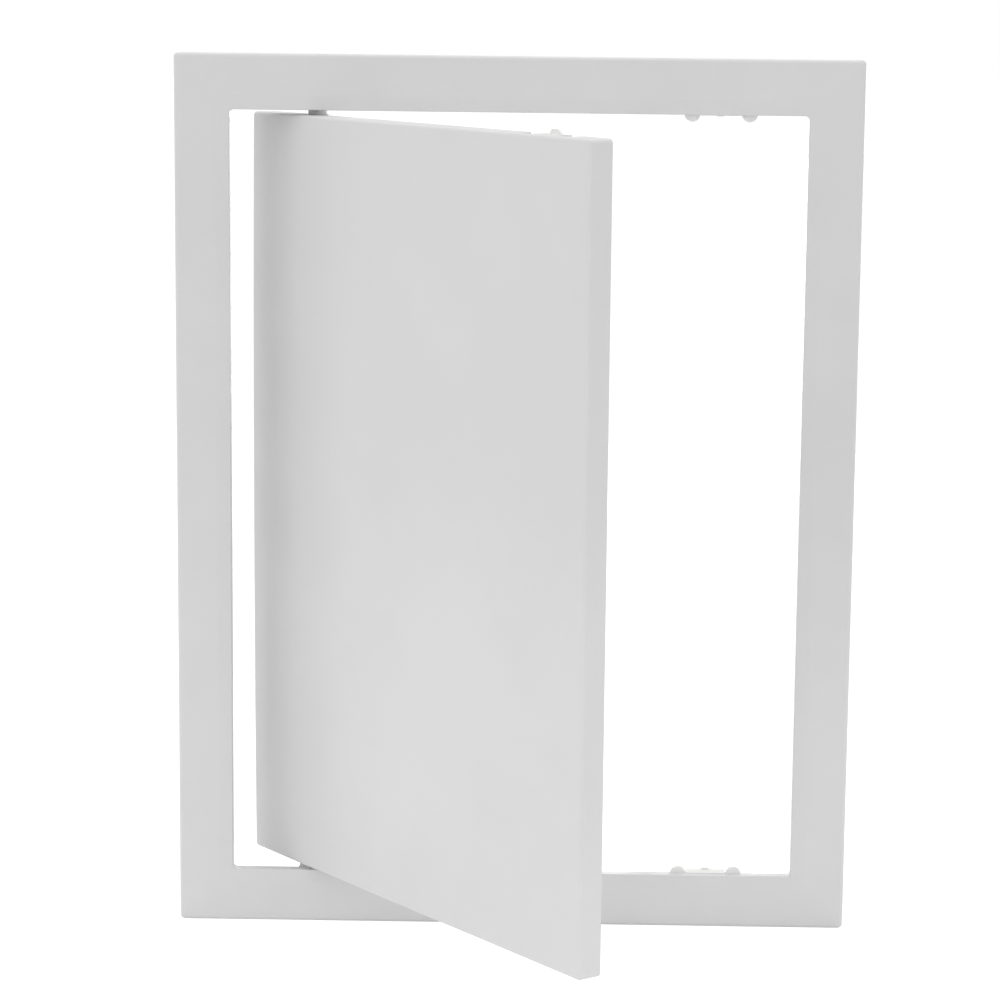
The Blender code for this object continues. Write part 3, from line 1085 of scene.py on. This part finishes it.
    def shelf(self) -> bpy.types.Object:
        """Model the shelf behind the top lip, with the nib that the door's nub snaps behind.

        Returns:
            The new object.
        """
        sizes = self.sizes
        x = sizes.catch_from_centre
        half = sizes.hump_spacing / 2 - self.hump_radius
        inner = sizes.half_opening_height + self.shelf_recess
        obj = Bench.block(
            "Catch_Shelf_Top", (x - half, sizes.lip_rear - sizes.overlap, inner),
            (x + half, sizes.lip_rear + self.shelf_reach, inner + self.shelf_thickness))
        nib_rear = sizes.face + self.nib_behind_face
        nib_front = nib_rear - self.nib_thickness
        raised = Bench.block(
            "Raised_Pad",
            (x - half, sizes.lip_rear - self.hump_thickness,
             sizes.half_opening_height - self.pad_rise),
            (x + half, nib_front + sizes.overlap, inner + sizes.overlap))
        Bench.combine(obj, raised, "UNION")
        nib = Bench.block(
            "Nib", (x - self.nib_width / 2, nib_front, sizes.half_opening_height - self.nib_rise),
            (x + self.nib_width / 2, nib_rear, inner + sizes.overlap))
        Bench.combine(obj, nib, "UNION")
        Bench.soften(obj, Rounding.SMALL, 2)
        return obj

    def build(self) -> list[bpy.types.Object]:
        """Model, copy and dress the frame's pieces.

        Returns:
            The pieces.
        """
        sizes = self.sizes
        pad = self.bearing_pad()
        pads = [pad, Bench.copy(pad, "Bearing_Pad_Bottom", self.turned_over(sizes.pivot.x))]
        first = self.hump()
        beside = Matrix.Translation((sizes.hump_spacing, 0.0, 0.0))
        below = self.turned_over(sizes.catch_from_centre)
        humps = [first] + [
            Bench.copy(first, f"Catch_Hump_{number}", place)
            for number, place in ((2, beside), (3, below), (4, below @ beside))]
        shelf = self.shelf()
        shelves = [shelf, Bench.copy(shelf, "Catch_Shelf_Bottom", below)]
        pieces = [self.finish(self.flange(), "Frame")]
        pieces += [self.finish(obj) for obj in pads]
        # The humps and shelves take the paler plastic: painted highlight for the light they catch.
        return pieces + [self.finish(obj, painted_highlight=True) for obj in humps + shelves]


@dataclass
class DoorLeaf(Assembly):
    """The door: tray, ribs, hinge ears with knuckles, and the snap nubs."""

    skin: float = 0.0022
    wall: float = 0.0018
    edge_radius: float = 0.0015
    corner: float = 0.0022
    inner_corner: float = 0.0006
    bow: float = 0.0013
    bow_steps: int = 16
    rim_margin: float = 0.0005
    rib_thickness: float = 0.0014
    rib_setback: float = 0.0048
    ribs: int = 3
    knuckle_wall: float = 0.00195
    ear_margin: float = 0.0008
    drill_length: float = 0.0200
    slot_half: float = 0.0055
    slot_front: float = 0.0036
    tab_reach: float = 0.0018
    nub_base: float = 0.0112
    nub_top: float = 0.0044
    nub_shift: float = 0.0011
    nub_offset: float = 0.0015
    nub_rise: float = 0.0021
    nub_thickness: float = 0.0018
    nub_top_thickness: float = 0.0010
    nub_frame: float = 0.0006
    nub_dish: float = 0.00025

    @property
    def half_width(self) -> float:
        """Half the door's width."""
        return self.sizes.half_opening_width - self.sizes.door_gap

    def depth(self, behind: float) -> float:
        """Return the place along Y of a depth behind the shut door's face."""
        return self.sizes.face + behind

    def tray(self) -> bpy.types.Object:
        """Model the door's face and its rim, with the slots that clear the humps.

        Returns:
            The new object.
        """
        rounding = arc_stops((self.edge_radius, self.edge_radius), self.edge_radius, 270, 180, 7)
        wall = rounding + [(0.0, self.sizes.door_depth), (self.wall, self.sizes.door_depth)]
        wall.append((self.wall, self.skin))
        rings = []
        for inset, behind in wall:
            corner = max(self.corner - inset, self.inner_corner)
            rings.append(Ring(
                self.half_width - inset, self.sizes.door_top - inset, corner, self.depth(behind)))
        sweep = RingSweep("Door_Leaf", rings[0], CORNER_STEPS)
        for ring in rings[1:]:
            sweep.draw_to(ring)
        obj = sweep.cap_ends()
        self.bow_out(obj)
        for end in End:
            for side in (-1, 1):
                Bench.combine(obj, self.hump_slot(end, side), "DIFFERENCE")
        Bench.soften(obj, Rounding.BROAD)
        return obj

    def bow_out(self, obj: bpy.types.Object) -> None:
        """Bow the face's edge on the pivot's side outward, and leave the rim behind it straight.

        Args:
            obj: the tray.
        """
        reach = self.sizes.door_top - self.corner
        rim = self.depth(self.sizes.door_depth) - self.rim_margin
        heights = [reach * (2 * index / self.bow_steps - 1) for index in range(1, self.bow_steps)]
        Bench.edit(obj)
        for height in heights:
            bpy.ops.mesh.select_all(action="SELECT")
            bpy.ops.mesh.bisect(plane_co=(0.0, 0.0, height), plane_no=(0.0, 0.0, 1.0))
        for height in heights:
            Bench.pick(obj, Part.VERTICES, lambda vertex: abs(vertex.co.z - height) < SAME_PLACE
                       and vertex.co.x < self.wall - self.half_width + SAME_PLACE
                       and vertex.co.y < rim)
            out = self.bow * (1.0 - (height / reach) ** 2)
            bpy.ops.transform.translate(value=(-out, 0.0, 0.0))
        bpy.ops.object.mode_set(mode="OBJECT")

    def hump_slot(self, end: End, side: int) -> bpy.types.Object:
        """Return a block that cuts one slot in the rim.

        Args:
            end: the end that it is at.
            side: -1 for the slot nearer the pivot, 1 for the other.

        Returns:
            The new object.
        """
        sizes = self.sizes
        x = sizes.catch_from_centre + side * sizes.hump_spacing / 2
        inner, outer = sorted((end.value * (sizes.door_top - self.wall - CUT_MARGIN),
                               end.value * (sizes.door_top + CUT_MARGIN)))
        return Bench.block(
            "Slot", (x - self.slot_half, self.depth(self.slot_front), inner),
            (x + self.slot_half, self.depth(sizes.door_depth + CUT_MARGIN), outer))

    def rib_grid(self) -> bpy.types.Object:
        """Model the ribs behind the face as one grid, cut from a sheet and given its height.

        Returns:
            The new object.
        """
        sizes = self.sizes
        half_width = self.half_width - self.wall + sizes.overlap
        half_height = sizes.door_top - self.wall + sizes.overlap
        Bench.clear()
        front = self.depth(self.skin - sizes.overlap)
        bpy.ops.mesh.primitive_plane_add(
            size=1.0, location=(0.0, front, 0.0), rotation=(math.pi / 2, 0.0, 0.0))
        obj = Bench.named("Door_Ribs")
        obj.scale = (2 * half_width, 2 * half_height, 1.0)
        Bench.settle(obj)
        levels = [2 * (index + 1) / (self.ribs + 1) - 1 for index in range(self.ribs)]
        across = [self.half_width * level for level in levels]
        up = [sizes.door_top * level for level in levels]
        half = self.rib_thickness / 2
        Bench.edit(obj)
        for normal, places in (((1.0, 0.0, 0.0), across), ((0.0, 0.0, 1.0), up)):
            for place in places:
                for side in (-half, half):
                    bpy.ops.mesh.select_all(action="SELECT")
                    spot = [(place + side) * part for part in normal]
                    bpy.ops.mesh.bisect(plane_co=spot, plane_no=normal)
        Bench.pick(obj, Part.FACES, lambda face: all(
            abs(face.calc_center_median().x - place) > half for place in across)
            and all(abs(face.calc_center_median().z - place) > half for place in up))
        bpy.ops.mesh.delete(type="FACE")
        bpy.ops.object.mode_set(mode="OBJECT")
        Bench.take(obj)
        height = obj.modifiers.new("Height", "SOLIDIFY")
        height.thickness = sizes.door_depth - self.rib_setback - self.skin + sizes.overlap
        height.offset = -1.0
        bpy.ops.object.modifier_apply(modifier=height.name)
        Bench.soften(obj, Rounding.THIN, 2)
        return obj

    def ear(self) -> bpy.types.Object:
        """Model the top ear, which reaches back to the pivot, and the knuckle on it.

        Returns:
            The new object.
        """
        sizes = self.sizes
        ear_radius = sizes.hole_radius + self.knuckle_wall + self.ear_margin
        middle = sizes.door_top - sizes.ear_thickness / 2
        obj = Bench.bar(
            "Hinge_Ear_Top", (sizes.pivot.x, sizes.pivot.y, middle),
            ear_radius, sizes.ear_thickness)
        Bench.edit(obj)
        bpy.ops.mesh.select_all(action="SELECT")
        bpy.ops.mesh.bisect(
            plane_co=sizes.pivot + Vector((0.0, 0.0, middle)), plane_no=(0.0, -1.0, 0.0),
            use_fill=True, clear_outer=True)
        Bench.pick(obj, Part.FACES, lambda face: face.normal.y < -SQUARE_ON)
        reach = ear_radius + sizes.pivot_behind_face - sizes.door_depth
        bpy.ops.mesh.extrude_region_move(TRANSFORM_OT_translate={"value": (0.0, -reach, 0.0)})
        bpy.ops.object.mode_set(mode="OBJECT")
        low, high = sizes.door_top - sizes.overlap, sizes.pad_face - sizes.pin_gap
        knuckle = Bench.bar("Knuckle", (sizes.pivot.x, sizes.pivot.y, (low + high) / 2),
                            sizes.hole_radius + self.knuckle_wall, high - low)
        Bench.combine(obj, knuckle, "UNION")
        hole = Bench.bar(
            "Hole", (sizes.pivot.x, sizes.pivot.y, middle), sizes.hole_radius, self.drill_length)
        Bench.combine(obj, hole, "DIFFERENCE")
        Bench.soften(obj, Rounding.THIN, 2)
        return obj

    def catch(self) -> bpy.types.Object:
        """Model the springy tab between the top slots and the tapered nub on it.

        Returns:
            The new object.
        """
        sizes = self.sizes
        x = sizes.catch_from_centre
        half = sizes.hump_spacing / 2 - self.slot_half
        rear = self.depth(sizes.door_depth + self.tab_reach)
        obj = Bench.block(
            "Snap_Nub_Top",
            (x - half, self.depth(sizes.door_depth - sizes.overlap), sizes.door_top - self.wall),
            (x + half, rear, sizes.door_top))
        top = sizes.door_top + self.nub_rise
        x -= self.nub_offset
        nub = Bench.block(
            "Nub",
            (x - self.nub_base / 2, rear - self.nub_thickness, sizes.door_top - self.wall / 2),
            (x + self.nub_base / 2, rear, top))
        Bench.edit(nub)
        Bench.pick(nub, Part.FACES, lambda face: face.normal.z > SQUARE_ON)
        taper = (self.nub_top / self.nub_base, self.nub_top_thickness / self.nub_thickness, 1.0)
        bpy.ops.transform.resize(
            value=taper, center_override=(x, rear - self.nub_thickness / 2, top))
        bpy.ops.transform.translate(value=(-self.nub_shift, 0.0, 0.0))
        Bench.pick(nub, Part.FACES, lambda face: face.normal.y < -0.5)
        bpy.ops.mesh.inset(thickness=self.nub_frame, depth=-self.nub_dish)
        bpy.ops.object.mode_set(mode="OBJECT")
        Bench.combine(obj, nub, "UNION")
        Bench.soften(obj, Rounding.NUB, 2)
        return obj

    def build(self) -> list[bpy.types.Object]:
        """Model, copy, open and dress the door's pieces.

        Returns:
            The pieces.
        """
        ear, catch = self.ear(), self.catch()
        low_ear = Bench.copy(ear, "Hinge_Ear_Bottom", self.turned_over(self.sizes.pivot.x))
        flip = Matrix.Scale(-1.0, 4, (0.0, 0.0, 1.0))
        low_catch = Bench.copy(catch, "Snap_Nub_Bottom", flip)
        Bench.edit(low_catch)
        bpy.ops.mesh.select_all(action="SELECT")
        bpy.ops.mesh.normals_make_consistent(inside=False)
        bpy.ops.object.mode_set(mode="OBJECT")
        pieces = [self.finish(self.open_door(self.tray()), "Door")]
        pieces += [self.finish(self.open_door(obj)) for obj in (self.rib_grid(), ear, low_ear)]
        # The snap nubs take the paler plastic: painted highlight for the light they catch.
        return pieces + [self.finish(self.open_door(obj), painted_highlight=True) for obj in (catch, low_catch)]


@dataclass
class HingePins(Assembly):
    """The two headed pins that the door turns on."""

    head_radius: float = 0.0036
    head_thickness: float = 0.0016
    chamfer: float = 0.0005
    end_gap: float = 0.0005
    head_rim: float = 0.0014
    head_dish: float = 0.0003
    fold: float = 50.0

    def pin(self) -> bpy.types.Object:
        """Model the top pin, its head inside the door.

        Returns:
            The new object.
        """
        sizes = self.sizes
        seat = sizes.door_top - sizes.ear_thickness - sizes.pin_gap
        tip = sizes.half_opening_height + sizes.collar_setback + sizes.collar_wall - self.end_gap
        middle = (sizes.pivot.x, sizes.pivot.y, seat - self.head_thickness / 2)
        obj = Bench.bar("Hinge_Pin_Top", middle, self.head_radius, self.head_thickness)
        Bench.edit(obj)
        Bench.pick(obj, Part.FACES, lambda face: face.normal.z > SQUARE_ON)
        bpy.ops.mesh.inset(thickness=self.head_radius - sizes.pin_radius)
        bpy.ops.mesh.extrude_region_move(TRANSFORM_OT_translate={"value": (0.0, 0.0, tip - seat)})
        Bench.pick(obj, Part.FACES, lambda face: face.normal.z < -SQUARE_ON)
        bpy.ops.mesh.inset(thickness=self.head_rim)
        bpy.ops.mesh.extrude_region_move(
            TRANSFORM_OT_translate={"value": (0.0, 0.0, self.head_dish)})
        Bench.pick(obj, Part.EDGES, lambda edge: all(
            abs(vertex.co.z - tip) < SAME_PLACE for vertex in edge.verts))
        bpy.ops.mesh.bevel(offset=self.chamfer, segments=2, affect="EDGES")
        bpy.ops.object.mode_set(mode="OBJECT")
        Bench.soften(obj, Rounding.THIN, 2, self.fold)
        return obj

    def build(self) -> list[bpy.types.Object]:
        """Model, copy and dress both pins.

        Returns:
            The pins.
        """
        top = self.pin()
        bottom = Bench.copy(top, "Hinge_Pin_Bottom", self.turned_over(self.sizes.pivot.x))
        return [self.finish(self.open_door(pin), node)
                for pin, node in ((top, "Pin_Top"), (bottom, "Pin_Bottom"))]


@dataclass(frozen=True)
class Lamp:
    """A soft rectangular lamp.

    Args:
        name: its name.
        place: where its middle is.
        aim: the point that it faces.
        width: its width.
        height: its height.
        power: its power in watts.
    """

    name: str
    place: Point
    aim: Point
    width: float
    height: float
    power: float

    def build(self) -> None:
        """Add the lamp, unseen by the camera."""
        light = bpy.data.lights.new(self.name, "AREA")
        light.shape = "RECTANGLE"
        light.size = self.width
        light.size_y = self.height
        light.energy = self.power
        obj = bpy.data.objects.new(self.name, light)
        bpy.context.scene.collection.objects.link(obj)
        obj.location = self.place
        obj.visible_camera = False
        way = Vector(self.aim) - Vector(self.place)
        obj.rotation_euler = way.to_track_quat("-Z", "Y").to_euler()


@dataclass(frozen=True)
class StudioSet:
    """The pale floor, the soft lamps and the white surroundings.

    Args:
        floor_height: height of the floor.
        floor_size: length of each of its sides.
        floor_white: how white the camera sees it where it is in full shadow.
        shadow_loss: how much weaker the camera sees the light and shade on it.
        near_colours: its two colours beside the object, paler than its far colour: a painted pool
            of light round the object.
        far_colour: its colour far away.
        bright_radius: distance from the middle within which it is palest, the full width of the
            painted pool of light.
        dark_radius: distance from which it has its far colour, where the painted pool of light
            ends.
        surround: strength of the light from the room's side.
        behind: strength of the light from the far side of the panel.
        behind_from: how far a direction leans to the far side where that strength is reached.
        lamps: the lamps.
    """

    floor_height: float
    floor_size: float = 24.0
    floor_white: float = 0.80
    shadow_loss: float = 0.45
    near_colours: tuple[Colour, Colour] = ((0.92, 0.92, 0.92), (0.90, 0.90, 0.90))
    far_colour: Colour = (0.60, 0.60, 0.60)
    bright_radius: float = 0.40
    dark_radius: float = 1.20
    surround: float = 1.0
    behind: float = 0.45
    behind_from: float = 0.70
    lamps: tuple[Lamp, ...] = (
        Lamp("Lamp_Key", (-1.78, -1.39, 0.80), (0.0, 0.0, 0.4), 0.22, 1.6, 0.9),
        Lamp("Lamp_Left", (-2.4, -0.7, 0.5), (0.0, 0.0, 0.0), 1.0, 1.6, 2.2),
        Lamp("Lamp_Rear_Low", (0.3, 1.6, 0.05), (0.0, 0.0, -0.1), 2.2, 0.5, 12.0),
        Lamp("Lamp_Rear_High", (0.0, 0.7, 1.7), (0.0, 0.0, 0.0), 1.8, 0.8, 8.0),
    )

    @staticmethod
    def _seen(sheet: NodeSheet) -> bpy.types.NodeSocket:
        """Return 1 where the camera, a reflection or glass looks, and 0 for other light.

        Args:
            sheet: the sheet that the nodes go in.

        Returns:
            The result's socket.
        """
        path = sheet.add("ShaderNodeLightPath")
        seen = sheet.maths("MAXIMUM", path.outputs["Is Camera Ray"], path.outputs["Is Glossy Ray"])
        return sheet.maths("MAXIMUM", seen, path.outputs["Is Transmission Ray"])

    def floor_material(self) -> bpy.types.Material:
        """Make the floor's material, white to the camera and darker in the object's shadow, with a
        pool of light painted round the object in its colour.

        Returns:
            The new material.
        """
        material = bpy.data.materials.new("Pale_Floor")
        material.use_nodes = True
        sheet = NodeSheet(material.node_tree)
        shader = material.node_tree.nodes["Principled BSDF"]
        place = sheet.add("ShaderNodeTexCoord")
        cloud = sheet.noise(place.outputs["Object"], 3.0, 3.0, 0.6)
        shader.inputs["Roughness"].default_value = 0.9
        shader.inputs["Specular IOR Level"].default_value = 0.2
        near = sheet.mix(sheet.spread(cloud, 0.3, 0.7, 0.0, 1.0), *self.near_colours)
        # Paler near the middle and darker far off: a painted pool of light round the object.
        away = sheet.add("ShaderNodeVectorMath", operation="LENGTH")
        sheet.join(place.outputs["Object"], away.inputs[0])
        far = sheet.spread(away.outputs["Value"], self.bright_radius, self.dark_radius, 0.0, 1.0)
        sheet.join(sheet.mix(far, near, self.far_colour), shader.inputs["Base Color"])
        glow = sheet.add("ShaderNodeEmission")
        white = sheet.maths("MULTIPLY", self._seen(sheet), self.floor_white)
        sheet.join(white, glow.inputs["Strength"])
        both = sheet.add("ShaderNodeAddShader")
        weaker = sheet.add("ShaderNodeMixShader")
        black = sheet.add("ShaderNodeBsdfDiffuse")
        black.inputs["Color"].default_value = (0.0, 0.0, 0.0, 1.0)
        loss = sheet.maths("MULTIPLY", self._seen(sheet), self.shadow_loss)
        sheet.join(loss, weaker.inputs["Fac"])
        sheet.join(shader.outputs[0], weaker.inputs[1])
        sheet.join(black.outputs[0], weaker.inputs[2])
        sheet.join(glow.outputs[0], both.inputs[0])
        sheet.join(weaker.outputs[0], both.inputs[1])
        output = material.node_tree.nodes["Material Output"]
        sheet.join(both.outputs[0], output.inputs["Surface"])
        return material

    def floor(self) -> None:
        """Add the floor."""
        Bench.clear()
        bpy.ops.mesh.primitive_plane_add(
            size=self.floor_size, location=(0.0, 0.0, self.floor_height))
        obj = Bench.settle(Bench.named("Floor"))
        obj.data.materials.append(self.floor_material())

    def surroundings(self) -> None:
        """Make the world white to the camera, and as a light dimmer behind the panel."""
        world = bpy.data.worlds.new("White_Surroundings")
        bpy.context.scene.world = world
        world.use_nodes = True
        sheet = NodeSheet(world.node_tree)
        background = world.node_tree.nodes["Background"]
        background.inputs["Color"].default_value = (*WHITE, 1.0)
        way = sheet.add("ShaderNodeSeparateXYZ")
        sheet.join(sheet.add("ShaderNodeTexCoord").outputs["Generated"], way.inputs[0])
        light = sheet.spread(way.outputs["Y"], 0.0, self.behind_from, self.surround, self.behind)
        lack = sheet.maths("SUBTRACT", 1.0, light)
        strength = sheet.maths("MULTIPLY_ADD", self._seen(sheet), lack, light)
        sheet.join(strength, background.inputs["Strength"])

    def build(self) -> None:
        """Add the floor, the lamps and the surroundings."""
        self.floor()
        for lamp in self.lamps:
            lamp.build()
        self.surroundings()
        bpy.context.scene.view_settings.view_transform = "Standard"


@dataclass(frozen=True)
class PhotoCamera:
    """The camera, at the photograph's place and angle.

    Args:
        place: where it stands.
        yaw: its turn about Z, in radians.
        pitch: its tilt, in radians, below the horizon where it is negative.
        roll: its turn about its own line of sight, in radians.
        lens: its focal length in millimetres.
        sensor: width of its sensor in millimetres.
        shift_x: how far the photograph's frame is cut off centre across, as a share of its width.
        shift_y: the same, upward.
        nearest: the shortest distance that it sees.
        farthest: the longest distance that it sees.
    """

    place: Point = (0.03070, -1.59375, 0.26477)
    yaw: float = 0.01086
    pitch: float = -0.17446
    roll: float = -0.01177
    lens: float = 116.82
    sensor: float = 36.0
    shift_x: float = -0.0418
    shift_y: float = 0.0317
    nearest: float = 0.05
    farthest: float = 60.0

    def build(self) -> None:
        """Add the camera and make it the scene's own."""
        data = bpy.data.cameras.new("Camera")
        data.lens = self.lens
        data.sensor_width = self.sensor
        data.shift_x = self.shift_x
        data.shift_y = self.shift_y
        data.clip_start = self.nearest
        data.clip_end = self.farthest
        obj = bpy.data.objects.new("Camera", data)
        bpy.context.scene.collection.objects.link(obj)
        turn = Matrix.Rotation(self.yaw, 4, "Z") @ Matrix.Rotation(math.pi / 2 + self.pitch, 4, "X")
        roll = Matrix.Rotation(-self.roll, 4, "Z")
        obj.matrix_world = Matrix.Translation(self.place) @ turn @ roll
        bpy.context.scene.camera = obj


def main() -> None:
    """Build the camera, the set and the panel, and report each piece."""
    logging.basicConfig(level=logging.INFO, format="%(name)s: %(message)s")
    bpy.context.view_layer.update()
    low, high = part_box("Frame")
    sizes = PanelSizes(width=high.x - low.x, height=high.z - low.z)
    PhotoCamera().build()
    StudioSet(floor_height=low.z).build()
    effects = SharedEffects()
    # Each plastic's third colour is its paler edge colour, a painted highlight.
    frame_plastic = MouldedPlastic(
        "Frame_White_Plastic", (0.715, 0.715, 0.716), (0.690, 0.690, 0.691), (0.740, 0.740, 0.741),
        HOUSE_DUST, 0.36, 0.00005)
    door_plastic = MouldedPlastic(
        "Door_White_Plastic", (0.730, 0.730, 0.731), (0.706, 0.706, 0.707), (0.752, 0.752, 0.753),
        HOUSE_DUST, 0.32, 0.00004, turn=sizes.open_angle)
    # A paler copy of the white plastic for the humps, shelves and nubs: painted highlight for the
    # light that falls on and through them.
    painted_highlight_plastic = MouldedPlastic(
        "Painted_Highlight_White_Plastic", (0.860, 0.860, 0.852), (0.835, 0.835, 0.826), (0.875, 0.875, 0.868),
        HOUSE_DUST, 0.40, 0.00003)
    pin_plastic = MouldedPlastic(
        "Pin_Grey_Plastic", (0.42, 0.42, 0.43), (0.38, 0.38, 0.39), (0.50, 0.50, 0.51),
        (0.50, 0.49, 0.47), 0.45, 0.00004)
    painted_highlight, pins = painted_highlight_plastic.build(effects), pin_plastic.build(effects)
    assemblies = (
        FrameMoulding(sizes, Body.FRAME, "frame_plastic", frame_plastic.build(effects), painted_highlight),
        DoorLeaf(sizes, Body.DOOR, "door_plastic", door_plastic.build(effects), painted_highlight),
        HingePins(sizes, Body.DOOR, "pin_plastic", pins, pins),
    )
    for assembly in assemblies:
        pieces = assembly.build()
        LOG.info("%s: %d pieces", type(assembly).__name__, len(pieces))
    Bench.clear()


if __name__ == "__main__":
    main()
